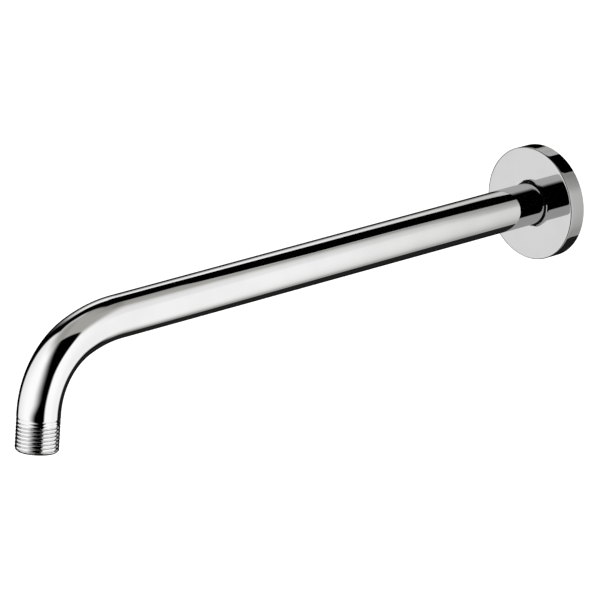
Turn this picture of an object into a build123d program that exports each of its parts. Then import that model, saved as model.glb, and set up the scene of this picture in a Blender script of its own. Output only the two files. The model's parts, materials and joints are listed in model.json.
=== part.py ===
from build123d import *

import os
from math import cos, radians, sin

# Chromed shower arm: a bent pipe with a threaded end for the wall and one for the shower head,
# and a round cover flange that slides along the pipe on a sealing ring.
# Sizes in millimetres, angles in degrees.
# The wall is the XZ plane: the arm leaves it along -Y and bends down, so that its outlet points down and slightly out.

# Pipe
tube_dia = 21.0
bore_dia = 16.0
reach = 345.0           # wall to the middle of the outlet's end face
bend_radius = 38.0
bend_angle = 85.0
lead_radius = 74.0      # gentler arc on which the bend begins
lead_angle = 20.0
leg_length = 1.6        # plain pipe between the bend and the outlet's thread

# Threaded ends, half inch parallel pipe thread
thread_dia = 20.955
inlet_length = 15.0     # how far the wall end stands out behind the wall plane
inlet_thread = 16.0
outlet_thread = 15.2
end_chamfer = 1.0
bore_chamfer = 0.4
runout_depth = 0.5      # V groove where each thread runs out

# Cover flange
flange_dia = 57.0
flange_depth = 9.5
face_thickness = 2.8
rim_thickness = 2.5
boss_wall = 2.2         # metal round the sealing ring's groove
boss_length = 7.0
bore_gap = 0.9          # between the pipe and the flange's hole
hole_chamfer_width = 0.8
hole_chamfer_depth = 0.25
front_edge_radius = 0.8
back_edge_chamfer = 0.3

# Sealing ring in the flange
seal_section = 2.4      # square, with its corners cut
seal_chamfer = 0.5
seal_fit = 0.05         # running clearance to the pipe and to the groove's floor
seal_side_gap = 0.3
seal_setback = 3.4      # from the flange's front face to the middle of the ring

tube_radius = tube_dia / 2
thread_radius = thread_dia / 2
runout_radius = thread_radius - runout_depth
runout_length = runout_depth + tube_radius - runout_radius
tube_start = inlet_length - inlet_thread - runout_length
outlet_length = leg_length + runout_length + outlet_thread
lead_sine = sin(radians(lead_angle))
bend_sine = sin(radians(bend_angle))
bend_reach = lead_radius * lead_sine + bend_radius * (bend_sine - lead_sine)
outlet_reach = outlet_length * cos(radians(bend_angle))

# The centre line lies in the YZ plane
with BuildLine(Plane.YZ) as centre_line:
    inlet_stub = Line((inlet_length, 0), (tube_start, 0))
    straight_run = Line(inlet_stub @ 1, (bend_reach + outlet_reach - reach, 0))
    lead_in = JernArc(straight_run @ 1, straight_run % 1, lead_radius, lead_angle)
    bend = JernArc(lead_in @ 1, lead_in % 1, bend_radius, bend_angle - lead_angle)
    outlet_leg = Line(bend @ 1, bend @ 1 + (bend % 1) * leg_length)
    outlet_stub = Line(outlet_leg @ 1, outlet_leg @ 1 + (bend % 1) * (runout_length + outlet_thread))


def end_plane(tip, inwards):
    """Plane through the pipe's axis at one end: x is the radius, and y runs inwards from the end face."""
    return Plane(tip, x_dir=(1, 0, 0), z_dir=Vector(1, 0, 0).cross(inwards))


def threaded_end(plane, thread_length):
    """Half section of a turned end: chamfer, thread and the groove in which the thread runs out."""
    with BuildSketch(plane) as section:
        with BuildLine():
            Polyline(
                (0, 0),
                (thread_radius - end_chamfer, 0),
                (thread_radius, end_chamfer),
                (thread_radius, thread_length),
                (runout_radius, thread_length + runout_depth),
                (tube_radius, thread_length + runout_length),
                (0, thread_length + runout_length),
                close=True,
            )
        make_face()
    return section.sketch


inlet_plane = end_plane(inlet_stub @ 0, inlet_stub % 0)
outlet_plane = end_plane(outlet_stub @ 1, -(outlet_stub % 1))
inlet_section = threaded_end(inlet_plane, inlet_thread)
outlet_section = threaded_end(outlet_plane, outlet_thread)

# Arm: one pipe, bent, with both ends turned and the waterway right through it
with BuildPart() as arm:
    with BuildSketch(Plane(straight_run @ 0, z_dir=straight_run % 0)):
        Circle(tube_radius)
    sweep(path=Wire([straight_run, lead_in, bend, outlet_leg]))
    revolve(inlet_section, axis=Axis(inlet_plane.origin, inlet_plane.y_dir))
    revolve(outlet_section, axis=Axis(outlet_plane.origin, outlet_plane.y_dir))
    with BuildSketch(Plane(inlet_stub @ 0, z_dir=inlet_stub % 0)):
        Circle(bore_dia / 2)
    sweep(path=centre_line.wire(), mode=Mode.SUBTRACT)
    circles = arm.edges().filter_by(GeomType.CIRCLE)
    bore_edges = circles.filter_by(lambda edge: abs(edge.radius - bore_dia / 2) < 0.01)
    for tip in (inlet_stub @ 0, outlet_stub @ 1):
        chamfer(bore_edges.sort_by_distance(tip)[0], bore_chamfer)

# Sealing ring, and the groove in the flange that holds it
seal_middle = tube_radius + seal_fit + seal_section / 2
seal_place = seal_setback - flange_depth
groove_radius = seal_middle + seal_section / 2 + seal_fit
groove_width = seal_section + 2 * seal_side_gap

with BuildPart() as seal_ring:
    with BuildSketch(Plane.XY) as seal_ring_section:
        with Locations((seal_middle, seal_place)):
            Rectangle(seal_section, seal_section)
        chamfer(seal_ring_section.vertices(), seal_chamfer)
    revolve(axis=Axis.Y)

# Cover flange: a turned cup, open at the back, with a boss round the pipe
flange_radius = flange_dia / 2
rim_inside = flange_radius - rim_thickness
hole_radius = tube_radius + bore_gap
boss_radius = groove_radius + boss_wall
with BuildPart() as cover_flange:
    with BuildSketch(Plane.XY):
        with BuildLine():
            Polyline(
                (hole_radius, hole_chamfer_depth - flange_depth),
                (hole_radius + hole_chamfer_width, -flange_depth),
                (flange_radius, -flange_depth),
                (flange_radius, 0),
                (rim_inside, 0),
                (rim_inside, face_thickness - flange_depth),
                (boss_radius, face_thickness - flange_depth),
                (boss_radius, boss_length - flange_depth),
                (hole_radius, boss_length - flange_depth),
                close=True,
            )
        make_face()
        with Locations((hole_radius, seal_place)):
            Rectangle(2 * (groove_radius - hole_radius), groove_width, mode=Mode.SUBTRACT)
    revolve(axis=Axis.Y)
    front_edges = cover_flange.edges().filter_by(GeomType.CIRCLE).group_by(Axis.Y)[0].sort_by(SortBy.RADIUS)
    fillet(front_edges[-1], front_edge_radius)
    back_edges = cover_flange.edges().filter_by(GeomType.CIRCLE).group_by(Axis.Y)[-1].sort_by(SortBy.RADIUS)
    chamfer(back_edges[-1], back_edge_chamfer)

arm.part.label = "arm"
seal_ring.part.label = "seal_ring"
cover_flange.part.label = "cover_flange"

os.makedirs("parts", exist_ok=True)
export_step(arm.part, "parts/arm.step")
export_step(seal_ring.part, "parts/seal_ring.step")
export_step(cover_flange.part, "parts/cover_flange.step")
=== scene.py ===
import json
from math import cos, pi, radians, sin

import bpy
from mathutils import Matrix, Vector


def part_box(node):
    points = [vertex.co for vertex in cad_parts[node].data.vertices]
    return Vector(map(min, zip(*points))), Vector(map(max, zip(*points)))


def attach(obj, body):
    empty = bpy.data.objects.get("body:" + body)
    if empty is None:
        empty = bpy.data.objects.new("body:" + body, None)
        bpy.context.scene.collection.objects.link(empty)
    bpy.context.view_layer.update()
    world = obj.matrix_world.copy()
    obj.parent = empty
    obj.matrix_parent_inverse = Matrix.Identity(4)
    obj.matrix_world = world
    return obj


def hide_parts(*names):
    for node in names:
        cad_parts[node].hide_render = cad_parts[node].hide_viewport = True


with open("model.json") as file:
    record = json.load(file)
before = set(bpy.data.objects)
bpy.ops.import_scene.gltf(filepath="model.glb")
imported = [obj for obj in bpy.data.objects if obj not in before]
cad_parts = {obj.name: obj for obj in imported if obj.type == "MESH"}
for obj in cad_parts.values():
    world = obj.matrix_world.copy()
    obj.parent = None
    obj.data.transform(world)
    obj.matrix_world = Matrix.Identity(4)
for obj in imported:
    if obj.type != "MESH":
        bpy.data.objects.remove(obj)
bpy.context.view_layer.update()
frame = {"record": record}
scene = bpy.context.scene


# Arm
# A brass pipe, drawn straight and bent down at its outlet, with a male half inch pipe thread on each end.
# It is polished and chromed all over. One end screws into the wall and the shower head onto the other.

mm = 0.001
arm_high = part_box("arm")[1]
outlet = next(mount for mount in frame["record"]["mounts"] if mount["name"] == "outlet")
tube_radius = arm_high.x
bore_radius = 8.0 * mm
thread_radius = outlet["dims"]["r_mm"] * mm
threads_per_inch = 14
thread_pitch = 25.4 / threads_per_inch * mm
thread_depth = 0.50 * mm
inlet_length = arm_high.y
inlet_thread = 16.0 * mm
outlet_thread = 15.2 * mm
end_chamfer = 1.0 * mm
bore_chamfer = 0.4 * mm

# The groove in which each thread runs out
runout_flank = 0.5 * mm
runout_depth = 0.2 * mm
runout_length = 2 * runout_flank + tube_radius - thread_radius
runout_radius = thread_radius - runout_depth

# The centre line: a straight run, a gentle lead arc, the bend proper and a short leg down to the outlet
reach = 345.0 * mm
lead_radius = 74.0 * mm
lead_angle = radians(20)
bend_radius = 38.0 * mm
bend_angle = radians(85)
plain_leg = 1.6 * mm
leg_length = plain_leg + runout_length + outlet_thread
bend_reach = lead_radius * sin(lead_angle) + bend_radius * (sin(bend_angle) - sin(lead_angle))
straight_run = reach - leg_length * cos(bend_angle) - bend_reach
lead_end = straight_run + lead_radius * lead_angle
bend_end = lead_end + bend_radius * (bend_angle - lead_angle)
outlet_end = bend_end + leg_length


class Wire:
    """An output of a node in a tree. Arithmetic on it adds Math nodes, and node() adds any other node."""

    def __init__(self, tree, socket=None):
        self.tree = tree
        self.socket = socket

    def node(self, kind, settings=None, inputs=None, output=0):
        """Adds a node, with its settings and the values or wires of its inputs, and gives one output."""
        made = self.tree.nodes.new(kind)
        for name, value in (settings or {}).items():
            setattr(made, name, value)
        for name, value in (inputs or {}).items():
            if isinstance(value, Wire):
                value.into(made.inputs[name])
            else:
                made.inputs[name].default_value = value
        return Wire(self.tree, made.outputs[output] if made.outputs else None)

    def into(self, socket):
        self.tree.links.new(self.socket, socket)

    def math(self, operation, *values):
        """A Math node on the given values, or on this one alone."""
        return self.node("ShaderNodeMath", {"operation": operation}, dict(enumerate(values or [self])))

    def __add__(self, other):
        return self.math("ADD", self, other)

    def __sub__(self, other):
        return self.math("SUBTRACT", self, other)

    def __mul__(self, other):
        return self.math("MULTIPLY", self, other)

    def __truediv__(self, other):
        return self.math("DIVIDE", self, other)

    def __radd__(self, other):
        return self.math("ADD", other, self)

    def __rsub__(self, other):
        return self.math("SUBTRACT", other, self)

    def __rmul__(self, other):
        return self.math("MULTIPLY", other, self)

    def __rtruediv__(self, other):
        return self.math("DIVIDE", other, self)

    def clamp(self, low, high):
        return self.node("ShaderNodeClamp", inputs={"Value": self, "Min": low, "Max": high})

    def ramp(self, start, end):
        """Goes smoothly from 0 at start to 1 at end, also where end is the lower of the two."""
        settings = {"interpolation_type": "SMOOTHSTEP"}
        return self.node("ShaderNodeMapRange", settings, {0: self, 1: start, 2: end})

    def axis(self, name):
        """X, Y or Z of a vector."""
        return self.node("ShaderNodeSeparateXYZ", inputs={"Vector": self}, output=name)

    def noise(self, scale, detail):
        """Noise at the places that a vector gives."""
        return self.node("ShaderNodeTexNoise", inputs={"Vector": self, "Scale": scale, "Detail": detail})

    def mix(self, first, second):
        """The first colour where this is 0, and the second where it is 1."""
        colours = {"Factor": self, "A": (*first, 1), "B": (*second, 1)}
        return self.node("ShaderNodeMix", {"data_type": "RGBA"}, colours, "Result")


def sine(angle):
    return angle.math("SINE")


def cosine(angle):
    return angle.math("COSINE")


def start_tree(name, sizes):
    """A tree that takes a section outline, a number of steps round, a material and named sizes."""
    tree = bpy.data.node_groups.new(name, "GeometryNodeTree")
    sockets = {
        "Section": "NodeSocketGeometry",
        "Turn Steps": "NodeSocketInt",
        "Material": "NodeSocketMaterial",
        **{size: "NodeSocketFloat" for size in sizes},
    }
    tree.interface.new_socket("Geometry", in_out="OUTPUT", socket_type="NodeSocketGeometry")
    for label, kind in sockets.items():
        tree.interface.new_socket(label, in_out="INPUT", socket_type=kind)
    entry = tree.nodes.new("NodeGroupInput")
    return tree, {label: Wire(tree, entry.outputs[label]) for label in sockets}


def keep_on_points(geometry, name, kind, value):
    """Keeps a value on the points of a curve, under a name that is read later."""
    return geometry.node(
        "GeometryNodeStoreNamedAttribute",
        {"data_type": kind, "domain": "POINT"},
        {"Geometry": geometry, "Name": name, "Value": value},
    )


def kept_on_points(geometry, name, kind):
    """Reads a value that is kept on points."""
    return geometry.node("GeometryNodeInputNamedAttribute", {"data_type": kind}, {"Name": name})


def turn_section(given):
    """Turns the section outline about its axis.

    Gives the mesh, and for each of its points the place along the axis, the radius and the turn from 0 to 1.
    """
    outline = given["Section"]
    place = outline.node("GeometryNodeInputPosition")
    outline = outline.node("GeometryNodeMeshToCurve", inputs={"Mesh": outline})
    cuts = kept_on_points(outline, "cuts", "INT")
    outline = outline.node("GeometryNodeSubdivideCurve", inputs={"Curve": outline, "Cuts": cuts})
    outline = keep_on_points(outline, "section", "FLOAT_VECTOR", place)
    steps = {"Resolution": given["Turn Steps"], "Radius": 1.0}
    circle = outline.node("GeometryNodeCurvePrimitiveCircle", inputs=steps)
    circle = keep_on_points(circle, "turn", "FLOAT", circle.node("GeometryNodeSplineParameter"))
    circle = keep_on_points(circle, "round", "FLOAT_VECTOR", place)
    mesh = circle.node("GeometryNodeCurveToMesh", inputs={"Curve": circle, "Profile Curve": outline})
    section = kept_on_points(mesh, "section", "FLOAT_VECTOR")
    return mesh, section.axis("Y"), section.axis("X"), kept_on_points(mesh, "turn", "FLOAT")


def round_the_axis(radius, turn):
    """How far to the side of the axis and above it a point lies."""
    angle = 2 * pi * turn
    return radius * cosine(angle), radius * sine(angle)


def end_tree(given, mesh, x, y, z):
    """Puts the points in their places, keeps the sharp edges sharp, and ends the tree."""
    sharp_angle = radians(35)
    place = mesh.node("ShaderNodeCombineXYZ", inputs={"X": x, "Y": y, "Z": z})
    mesh = mesh.node("GeometryNodeSetPosition", inputs={"Geometry": mesh, "Position": place})
    mesh = mesh.node(
        "GeometryNodeSetShadeSmooth", {"domain": "FACE"}, {"Geometry": mesh, "Shade Smooth": True}
    )
    fold = mesh.node("GeometryNodeInputMeshEdgeAngle")
    sharp = fold.math("GREATER_THAN", fold, sharp_angle)
    mesh = mesh.node(
        "GeometryNodeSetShadeSmooth",
        {"domain": "EDGE"},
        {"Geometry": mesh, "Selection": sharp, "Shade Smooth": False},
    )
    mesh = mesh.node("GeometryNodeRealizeInstances", inputs={"Geometry": mesh})
    mesh = mesh.node("GeometryNodeSetMaterial", inputs={"Geometry": mesh, "Material": given["Material"]})
    mesh.node("NodeGroupOutput", inputs={"Geometry": mesh})


def make_piece(name, outline, tree, values):
    """Runs a tree on a section outline and keeps the result as a plain mesh.

    A point of the outline is its radius, its place along the axis and the steps to the next point.
    """
    count = len(outline)
    section = bpy.data.meshes.new(name)
    section.from_pydata(
        [(radius, along, 0) for radius, along, steps in outline],
        [(index, (index + 1) % count) for index in range(count)],
        [],
    )
    cuts = section.attributes.new("cuts", "INT", "POINT")
    for item, (radius, along, steps) in zip(cuts.data, outline):
        item.value = steps - 1
    piece = bpy.data.objects.new(name, section)
    scene.collection.objects.link(piece)
    modifier = piece.modifiers.new(name, "NODES")
    modifier.node_group = tree
    for item in tree.interface.items_tree:
        if item.name in values:
            modifier[item.identifier] = values[item.name]
    graph = bpy.context.evaluated_depsgraph_get()
    mesh = bpy.data.meshes.new_from_object(piece.evaluated_get(graph))
    piece.modifiers.remove(modifier)
    piece.data = mesh
    mesh.name = name
    for used_up in ("cuts", "turn"):
        mesh.attributes.remove(mesh.attributes[used_up])
    return piece


def start_material(name):
    """A new material and the sockets of its shader."""
    material = bpy.data.materials.new(name)
    material.use_nodes = True
    return material, material.node_tree.nodes["Principled BSDF"].inputs


def chrome(name, tint, marks_round, marks_out, marks_along):
    """Polished chrome plate: nearly a mirror, with an uneven haze and fine polishing marks.

    The three numbers of marks say how close they lie round, out from and along the axis.
    """
    material, shader = start_material(name)
    root = Wire(material.node_tree)
    haze = root.node("ShaderNodeTexCoord", output="Object").noise(scale=60.0, detail=3.0)
    round_axis = root.node("ShaderNodeAttribute", {"attribute_name": "round"}, output="Vector")
    section = root.node("ShaderNodeAttribute", {"attribute_name": "section"}, output="Vector")
    across = root.node("ShaderNodeVectorMath", {"operation": "SCALE"}, {0: round_axis, "Scale": marks_round})
    lengthwise = section.axis("X") * marks_out + section.axis("Y") * marks_along
    lengthwise = root.node("ShaderNodeCombineXYZ", inputs={"Z": lengthwise})
    lines = root.node("ShaderNodeVectorMath", {"operation": "ADD"}, {0: across, 1: lengthwise})
    marks = lines.noise(scale=1.0, detail=2.0).ramp(0.45, 0.75)

    polish = 0.012
    haze_depth = 0.016
    mark_depth = 0.022
    roughness = polish + haze_depth * haze + mark_depth * marks
    roughness.into(shader["Roughness"])
    dull = 0.965 * tint
    colour = haze.ramp(0.35, 0.7).mix((tint, tint, tint), (dull, dull, dull))
    colour.into(shader["Base Color"])
    shader["Metallic"].default_value = 1.0
    return material


def pipe_section():
    """The half section of the pipe laid straight.

    It runs from the outlet along the outside to the wall end, and back by the bore.
    """
    inlet_start = -inlet_length
    inlet_stop = inlet_start + inlet_thread
    outlet_start = outlet_end - outlet_thread
    rows_per_pitch = 18
    inlet_rows = round(rows_per_pitch * (inlet_thread - end_chamfer) / thread_pitch)
    outlet_rows = round(rows_per_pitch * (outlet_thread - end_chamfer) / thread_pitch)
    chamfer_rows = round(rows_per_pitch * end_chamfer / thread_pitch)
    flank_rows = 5
    run_rows = 60
    lead_rows = 24
    bend_rows = 72
    bore_run_rows = 16
    outlet_trim = 0.004 * mm
    outlet_face = outlet_end - outlet_trim
    return [
        (bore_radius + bore_chamfer, outlet_face, 2),
        (thread_radius - end_chamfer, outlet_face, chamfer_rows),
        (thread_radius, outlet_end - end_chamfer, outlet_rows),
        (thread_radius, outlet_start, flank_rows),
        (runout_radius, outlet_start - runout_flank, flank_rows),
        (tube_radius, outlet_start - runout_length, 2),
        (tube_radius, bend_end, bend_rows),
        (tube_radius, lead_end, lead_rows),
        (tube_radius, straight_run, run_rows),
        (tube_radius, inlet_stop + runout_length, flank_rows),
        (runout_radius, inlet_stop + runout_flank, flank_rows),
        (thread_radius, inlet_stop, inlet_rows),
        (thread_radius, inlet_start + end_chamfer, chamfer_rows),
        (thread_radius - end_chamfer, inlet_start, 2),
        (bore_radius + bore_chamfer, inlet_start, 1),
        (bore_radius, inlet_start + bore_chamfer, bore_run_rows),
        (bore_radius, straight_run, lead_rows // 2),
        (bore_radius, lead_end, bend_rows // 2),
        (bore_radius, bend_end, 2),
        (bore_radius, outlet_end - bore_chamfer, 1),
    ]


def pipe_tree():
    """Turns the pipe's section, cuts a right-hand thread on both ends and lays it along the centre line."""
    sizes = [
        "Thread Radius", "Thread Pitch", "Thread Depth", "Inlet Thread End", "Outlet Thread Start",
        "Straight Run", "Lead Radius", "Lead Angle", "Bend Radius", "Bend Angle",
    ]
    tree, given = start_tree("threaded_bent_pipe", sizes)
    mesh, along, radius, turn = turn_section(given)

    # The thread: a groove with rounded crests, which fades out over one pitch
    groove_edge = 0.62
    groove_floor = 0.04
    pitch = given["Thread Pitch"]
    runout_in = along.ramp(given["Inlet Thread End"], given["Inlet Thread End"] - pitch)
    runout_out = along.ramp(given["Outlet Thread Start"], given["Outlet Thread Start"] + pitch)
    phase = (along / pitch - turn).math("FRACT")
    groove = (2 * phase - 1).math("ABSOLUTE").ramp(groove_edge, groove_floor)
    cut = given["Thread Depth"] * groove * (runout_in + runout_out)
    standing_out = radius - given["Thread Radius"] + cut
    in_thread = (runout_in + runout_out).clamp(0, 1)
    radius = radius - standing_out.math("MAXIMUM", standing_out, 0) * in_thread

    # How far a point has turned into the lead arc and the bend, and how far down the leg it lies
    lead = given["Lead Angle"]
    lead_turn = ((along - given["Straight Run"]) / given["Lead Radius"]).clamp(0, lead)
    past_lead = along - given["Straight Run"] - given["Lead Radius"] * lead
    bend_turn = (past_lead / given["Bend Radius"]).clamp(0, given["Bend Angle"] - lead)
    past_bend = past_lead - given["Bend Radius"] * (given["Bend Angle"] - lead)
    leg = past_bend.math("MAXIMUM", past_bend, 0)

    heading = lead_turn + bend_turn
    out = along.math("MINIMUM", along, given["Straight Run"])
    out = out + given["Lead Radius"] * sine(lead_turn)
    out = out + given["Bend Radius"] * (sine(lead + bend_turn) - sine(lead)) + leg * cosine(heading)
    drop = given["Lead Radius"] * (1 - cosine(lead_turn))
    drop = drop + given["Bend Radius"] * (cosine(lead) - cosine(lead + bend_turn)) + leg * sine(heading)
    side, top = round_the_axis(radius, turn)
    end_tree(given, mesh, side, -1 * out - top * sine(heading), top * cosine(heading) - drop)
    return tree


arm = make_piece("arm_pipe", pipe_section(), pipe_tree(), {
    "Turn Steps": 128,
    "Material": chrome("chrome_on_the_arm", tint=0.915, marks_round=40, marks_out=0, marks_along=15),
    "Thread Radius": thread_radius,
    "Thread Pitch": thread_pitch,
    "Thread Depth": thread_depth,
    "Inlet Thread End": inlet_thread - inlet_length,
    "Outlet Thread Start": outlet_end - outlet_thread,
    "Straight Run": straight_run,
    "Lead Radius": lead_radius,
    "Lead Angle": lead_angle,
    "Bend Radius": bend_radius,
    "Bend Angle": bend_angle,
})
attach(arm, "arm")
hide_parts("arm")


# Sealing ring
# A squared rubber ring, moulded, that sits in the groove of the flange's bore. It grips the pipe and holds
# the flange where it is pushed.

seal_low, seal_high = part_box("seal_ring")
seal_section = seal_high.y - seal_low.y
seal_chamfer = 0.5 * mm
seal_middle = seal_high.x - seal_section / 2
seal_place = (seal_low.y + seal_high.y) / 2


def ring_tree():
    """Turns a section about the pipe's axis."""
    tree, given = start_tree("turned_ring", [])
    mesh, along, radius, turn = turn_section(given)
    side, top = round_the_axis(radius, turn)
    end_tree(given, mesh, side, along * -1, top)
    return tree


def rubber(name):
    """Black moulded rubber, matt and faintly dusty."""
    black = (0.022, 0.022, 0.024)
    dusty = (0.055, 0.054, 0.052)
    material, shader = start_material(name)
    root = Wire(material.node_tree)
    place = root.node("ShaderNodeTexCoord", output="Object")
    grain = place.noise(scale=900.0, detail=4.0)
    dust = place.noise(scale=150.0, detail=2.0)
    (0.55 + 0.2 * grain).into(shader["Roughness"])
    dust.ramp(0.45, 0.8).mix(black, dusty).into(shader["Base Color"])
    skin = {"Height": grain, "Strength": 0.3, "Distance": 0.05 * mm}
    root.node("ShaderNodeBump", inputs=skin).into(shader["Normal"])
    return material


def ring_section():
    """The ring's section: square, with its corners cut."""
    half = seal_section / 2
    short = half - seal_chamfer
    corners = [
        (half, short), (half, -short), (short, -half), (-short, -half),
        (-half, -short), (-half, short), (-short, half), (short, half),
    ]
    return [(seal_middle + across, along - seal_place, 2) for across, along in corners]


turned_ring = ring_tree()
seal = make_piece("seal_ring_moulded", ring_section(), turned_ring, {
    "Turn Steps": 96,
    "Material": rubber("black_rubber"),
})
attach(seal, "seal")
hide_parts("seal_ring")


# Cover flange
# A cup turned from brass and chromed, open at the back, that covers the hole in the wall. A boss inside it
# carries the groove for the sealing ring. It slides along the pipe and turns on it.

flange_low, flange_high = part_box("cover_flange")
flange_radius = flange_high.x
flange_depth = -flange_low.y
face_thickness = 2.8 * mm
rim_thickness = 2.5 * mm
boss_radius = 15.2 * mm
boss_length = 7.0 * mm
hole_radius = 11.4 * mm
hole_chamfer_width = 0.8 * mm
hole_chamfer_depth = 0.25 * mm
groove_radius = 13.0 * mm
groove_width = 3.0 * mm
front_edge_radius = 0.8 * mm
back_edge_chamfer = 0.3 * mm


def flange_section():
    """The half section of the cup, from the hole's front edge out over the face, the rim and the inside."""
    face = flange_depth
    inside = face - face_thickness
    boss_back = face - boss_length
    groove_front = -seal_place + groove_width / 2
    groove_back = -seal_place - groove_width / 2
    edge_steps = 12
    front_edge = []
    for step in range(edge_steps):
        angle = pi / 2 * step / edge_steps
        radius = flange_radius - front_edge_radius * (1 - sin(angle))
        front_edge.append((radius, face - front_edge_radius * (1 - cos(angle)), 1))
    return [
        (hole_radius + hole_chamfer_width, face, 12),
        *front_edge,
        (flange_radius, face - front_edge_radius, 4),
        (flange_radius, back_edge_chamfer, 1),
        (flange_radius - back_edge_chamfer, 0, 2),
        (flange_radius - rim_thickness, 0, 4),
        (flange_radius - rim_thickness, inside, 6),
        (boss_radius, inside, 3),
        (boss_radius, boss_back, 3),
        (hole_radius, boss_back, 2),
        (hole_radius, groove_back, 1),
        (groove_radius, groove_back, 2),
        (groove_radius, groove_front, 1),
        (hole_radius, groove_front, 2),
        (hole_radius, face - hole_chamfer_depth, 2),
    ]


# The flange's chrome has a darker tint than the arm's. This is painted shade: it stands in for the dimmer
# tent that the flange's face and rim mirror.
flange = make_piece("cover_flange_turned", flange_section(), turned_ring, {
    "Turn Steps": 192,
    "Material": chrome(
        "chrome_on_the_flange_with_painted_shade", tint=0.655, marks_round=0.6, marks_out=3000, marks_along=3000
    ),
})
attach(flange, "flange")
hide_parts("cover_flange")


# Tent
# White walls and a grey roof, open beside the camera and dark behind, for the chrome to mirror. It stands
# far off round the arm, so it is made as the world.

tent_bearing = radians(43.7)
tent_lean = radians(3.4)
to_degrees = 180 / pi


def walls_and_roof(bearing, height):
    """The level of the white walls and the grey roof, and how much of the roof each direction shows."""
    white = 1.07
    grey = 0.34
    wall = white - 0.22 * bearing.ramp(-60, -130) - 0.11 * bearing.ramp(55, 90)
    right_half = bearing.ramp(-5, 5)
    roof = grey + 0.06 * right_half - 0.14 * bearing.ramp(100, 125) * height.ramp(75, 50)
    lift = height.ramp(48, 76) * (1 - right_half) + height.ramp(33, 53) * right_half
    level = wall + (roof - wall) * lift

    # The walls are a little darker low down, and in a fold on the right
    foot = 0.12 * height.ramp(-30, -48)
    fold = 0.12 * bearing.ramp(75, 92) * height.ramp(19, 30) * height.ramp(44, 34)
    return level * (1 - foot) * (1 - fold), lift


def camera_opening(bearing, height, up, side, front):
    """How much of the dark opening beside the camera each direction shows. The roof hangs over it."""
    right_edge = 31 + 4.5 * height.ramp(-6, 14) + 30.5 * height.ramp(14, 52)
    left_edge = -12 - 14 * height.ramp(25, 65) - 14 * height.ramp(8, -10)
    left_end = left_edge + 22 - 10 * height.ramp(8, -8)
    opening = bearing.ramp(right_edge + 6, right_edge - 4) * bearing.ramp(left_edge - 28, left_end)
    under_roof = (0.29 * up + 0.1 * side - front).ramp(0.03, -0.03)
    return opening * under_roof


def dark_back(level, bearing, height):
    """Darkens the tent behind the arm, but for a pale panel there, and its lower part on the right."""
    pale = 0.96
    behind = bearing.math("FLOORED_MODULO", bearing, 360)
    dark = behind.ramp(140.5, 145.5) * behind.ramp(240, 231) * height.ramp(63, 58)
    panel = height.ramp(7, 29) * height.ramp(39.5, 35.5) * behind.ramp(216, 190)
    level = level * (1 - dark) + dark * pale * panel
    low_edge = 108 + 14 * height.ramp(-36, -44)
    low_top = 30 - 44 * bearing.ramp(136, 144)
    low = height.ramp(low_top, low_top - 8) * bearing.ramp(low_edge, low_edge + 11)
    return level * (1 - low)


def corner_level(bearing, height, up, x):
    """What pipe and flange show of each other: the opening, with the grey tent above and below it."""
    around = up.math("ARCTAN2", up, x) * to_degrees
    facing = around.ramp(-45, -41) * around.ramp(118, 92)
    corner = (0.45 + 0.13 * around.ramp(0, 60)) * (1 - facing) * bearing.ramp(-101, -95)
    return corner + bearing.ramp(22, 30) * height.ramp(2, -8)


def tent_world():
    """The tent, as a level for each direction. The chrome mirrors it, and all else sees a plain white room.

    A direction is its bearing, to the right of the camera, and its height above the level, in degrees.
    """
    room_level = 0.8
    white = (1, 1, 1)
    warm_white = (1, 0.988, 0.94)
    world = bpy.data.worlds.new("tent")
    world.use_nodes = True
    background = world.node_tree.nodes["Background"].inputs
    root = Wire(world.node_tree)
    direction = root.node("ShaderNodeTexCoord", output="Generated")
    lean = {"Vector": direction, "Angle": -tent_lean}
    direction = root.node("ShaderNodeVectorRotate", {"rotation_type": "Y_AXIS"}, lean)
    x, y, up = [direction.axis(name) for name in "XYZ"]
    side = x * cos(tent_bearing) + y * sin(tent_bearing)
    front = x * sin(tent_bearing) - y * cos(tent_bearing)
    bearing = side.math("ARCTAN2", side, front) * to_degrees
    height = up.math("ARCSINE") * to_degrees

    level, lift = walls_and_roof(bearing, height)
    level = level * (1 - camera_opening(bearing, height, up, side, front))
    level = dark_back(level, bearing, height)
    bounces = root.node("ShaderNodeLightPath", output="Glossy Depth")
    twice = bounces.math("GREATER_THAN", bounces, 1.5)
    level = level * (1 - twice) + corner_level(bearing, height, up, x) * twice

    mirrored = root.node("ShaderNodeLightPath", output="Is Glossy Ray")
    seen = root.node("ShaderNodeLightPath", output="Is Camera Ray")
    level = mirrored * level + seen + (1 - mirrored) * (1 - seen) * room_level
    level.into(background["Strength"])
    (mirrored * lift).mix(white, warm_white).into(background["Color"])
    return world


scene.world = tent_world()


# Cards
# Cards of cloth, hung in the tent, that show in the chrome alone: a flag above the wall end and a pale card
# under it, one below the wall end, one low on the left and a small one behind the flange.

def rectangle(low, high):
    """Corners of a rectangle, from its lowest corner to its highest and back."""
    return [low, (high[0], low[1]), high, (low[0], high[1])]


def lying(edge, height):
    """Corners of a level card, from its edge seen from above."""
    return [(x, y, height) for x, y in edge]


def upright(edge, side):
    """Corners of a card that stands along the arm, from its edge seen from the right."""
    return [(side, y, z) for y, z in edge]


def flat_card(name, corners, material):
    """A flat sheet with the given corners."""
    mesh = bpy.data.meshes.new(name)
    mesh.from_pydata(corners, [], [range(len(corners))])
    mesh.materials.append(material)
    card = bpy.data.objects.new(name, mesh)
    scene.collection.objects.link(card)
    return card


def only_mirrored(card):
    """Stages a card that shows in the chrome alone, leaning as the tent does."""
    card.rotation_euler.y = tent_lean
    card.visible_camera = False
    card.visible_diffuse = False
    card.visible_shadow = False
    card.visible_transmission = False


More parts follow.
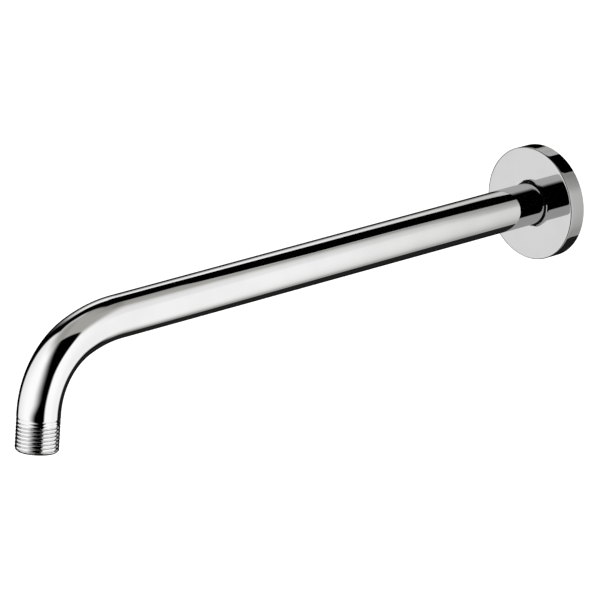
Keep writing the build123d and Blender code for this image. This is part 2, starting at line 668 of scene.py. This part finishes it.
def cloth(name, level):
    """Cloth that shows one level all over, black or paler."""
    material, shader = start_material(name)
    shader["Base Color"].default_value = (0, 0, 0, 1)
    shader["Specular IOR Level"].default_value = 0
    shader["Emission Color"].default_value = (1, 1, 1, 1)
    shader["Emission Strength"].default_value = level
    return material


flag_height = 0.30
flag_edge = [
    (-0.080, -0.020), (-0.046, -0.002), (0.003, 0.014), (0.026, 0.038), (0.050, 0.072), (0.070, 0.108),
    (0.078, 0.180), (0.098, 0.225), (0.136, 0.275), (0.19, 0.430), (-0.115, 0.430), (-0.115, 0.295),
    (-0.166, 0.272), (-0.200, 0.248), (-0.222, 0.215), (-0.226, 0.185), (-0.248, 0.150), (-0.272, 0.118),
    (-0.300, 0.100), (-0.305, 0.070), (-0.28, -0.020),
]
pale_end_height = 0.20
pale_end_edge = rectangle((-0.129, 0.172), (-0.069, 0.27))
ground_height = -0.30
ground_edge = [
    (0.012, -0.10), (0.043, -0.011), (0.080, 0.104), (0.109, 0.206), (0.111, 0.300), (0.13, 0.45),
    (-0.50, 0.45), (-0.50, -0.10),
]
left_side = -0.40
left_edge = rectangle((-0.35, -0.30), (0.30, -0.03))
rim_side = -0.10
rim_edge = [(0.080, 0.030), (0.125, 0.030), (0.147, 0.082), (0.101, 0.082)]
for name, corners, level in (
    ("flag", lying(flag_edge, flag_height), 0),
    ("pale_end", lying(pale_end_edge, pale_end_height), 0.55),
    ("ground_flag", lying(ground_edge, ground_height), 0.015),
    ("left_flag", upright(left_edge, left_side), 0),
    ("rim_flag", upright(rim_edge, rim_side), 0),
):
    only_mirrored(flat_card(name, corners, cloth(name, level)))


# Scrims
# Two thin nets that hang beside the arm, on its left and its right. They take some of the light out of what
# the chrome mirrors toward the wall.

def scrim_material():
    """A net that passes less light toward the wall that the arm stands on."""
    material = start_material("scrim")[0]
    root = Wire(material.node_tree)
    place = root.node("ShaderNodeTexCoord", output="Object")
    x, y, z = [place.axis(name) for name in "XYZ"]
    inward = y - 0.15 * z.math("MAXIMUM", z, 0) - 0.2 * z.math("MINIMUM", z, 0)
    held = 0.30 * inward.ramp(-0.08, 0.16) + 0.25 * inward.ramp(0.08, 0.28)

    # The right net is doubled in the stretch that the flange mirrors
    doubled = x.ramp(-0.1, 0.1) * (y - 0.5 * z).ramp(0.03, 0.075)
    doubled = doubled * z.ramp(0.05, 0.10) * z.ramp(0.32, 0.20)
    held = held + 0.15 * doubled
    passed = 1 - held * z.ramp(0.70, 0.35)
    blue = passed * (0.96 + 0.04 * passed)
    veil = root.node("ShaderNodeCombineXYZ", inputs={"X": passed, "Y": passed, "Z": blue})
    through = root.node("ShaderNodeBsdfTransparent", inputs={"Color": veil})
    through.into(material.node_tree.nodes["Material Output"].inputs["Surface"])
    return material


scrim_side = 0.15
scrim_edge = rectangle((-0.1, -3), (6, 3))
net = scrim_material()
for name, side in (("right_scrim", scrim_side), ("left_scrim", -scrim_side)):
    only_mirrored(flat_card(name, upright(scrim_edge, side), net))


# Floor and lamp
# A plain, pale floor below the arm, and a broad soft lamp above it for the shadow. The chrome mirrors
# neither of them.

def floor_material():
    """A pale floor that the camera sees nearly white."""
    material, shader = start_material("pale_floor")
    root = Wire(material.node_tree)
    seen = root.node("ShaderNodeLightPath", output="Is Camera Ray")
    shader["Base Color"].default_value = (0.85, 0.85, 0.85, 1)
    shader["Roughness"].default_value = 0.9
    shader["Emission Color"].default_value = (1, 1, 1, 1)
    (0.45 * seen).into(shader["Emission Strength"])
    return material


floor_height = -0.30
floor_half = 6.0
floor_edge = rectangle((-floor_half, -floor_half), (floor_half, floor_half))
floor = flat_card("floor", lying(floor_edge, floor_height), floor_material())
floor.visible_glossy = False

lamp_width = 1.6
lamp_power = 12
lamp_place = (0, -0.17, 1.6)
lamp = bpy.data.objects.new("soft_lamp", bpy.data.lights.new("soft_lamp", "AREA"))
scene.collection.objects.link(lamp)
lamp.data.shape = "RECTANGLE"
lamp.data.size = lamp_width
lamp.data.size_y = lamp_width
lamp.data.energy = lamp_power
lamp.location = lamp_place
lamp.visible_glossy = False


# Camera
# It looks at the arm from the front right and a little above, through a long lens. Its place and its lens
# are fitted to the photograph, and colours are shown as they are written.

scene.view_settings.view_transform = "Standard"
image_size = 600
camera_azimuth = radians(45.0713)
camera_elevation = radians(16.22)
camera_depth = 3.384218
focal_pixels = 6771.467
origin_pixel = (542.4147, 199.9127)

back = Vector((
    sin(camera_azimuth) * cos(camera_elevation),
    -cos(camera_azimuth) * cos(camera_elevation),
    sin(camera_elevation),
))
right = Vector((cos(camera_azimuth), sin(camera_azimuth), 0))
up = back.cross(right)
pixel_size = camera_depth / focal_pixels
place = (
    back * camera_depth
    - right * (origin_pixel[0] - image_size / 2) * pixel_size
    + up * (origin_pixel[1] - image_size / 2) * pixel_size
)
camera = bpy.data.objects.new("camera", bpy.data.cameras.new("camera"))
scene.collection.objects.link(camera)
camera.matrix_world = Matrix.LocRotScale(place, Matrix((right, up, back)).transposed(), None)
camera.data.sensor_width = 36
camera.data.lens = focal_pixels / image_size * camera.data.sensor_width
camera.data.clip_end = 50
scene.camera = camera
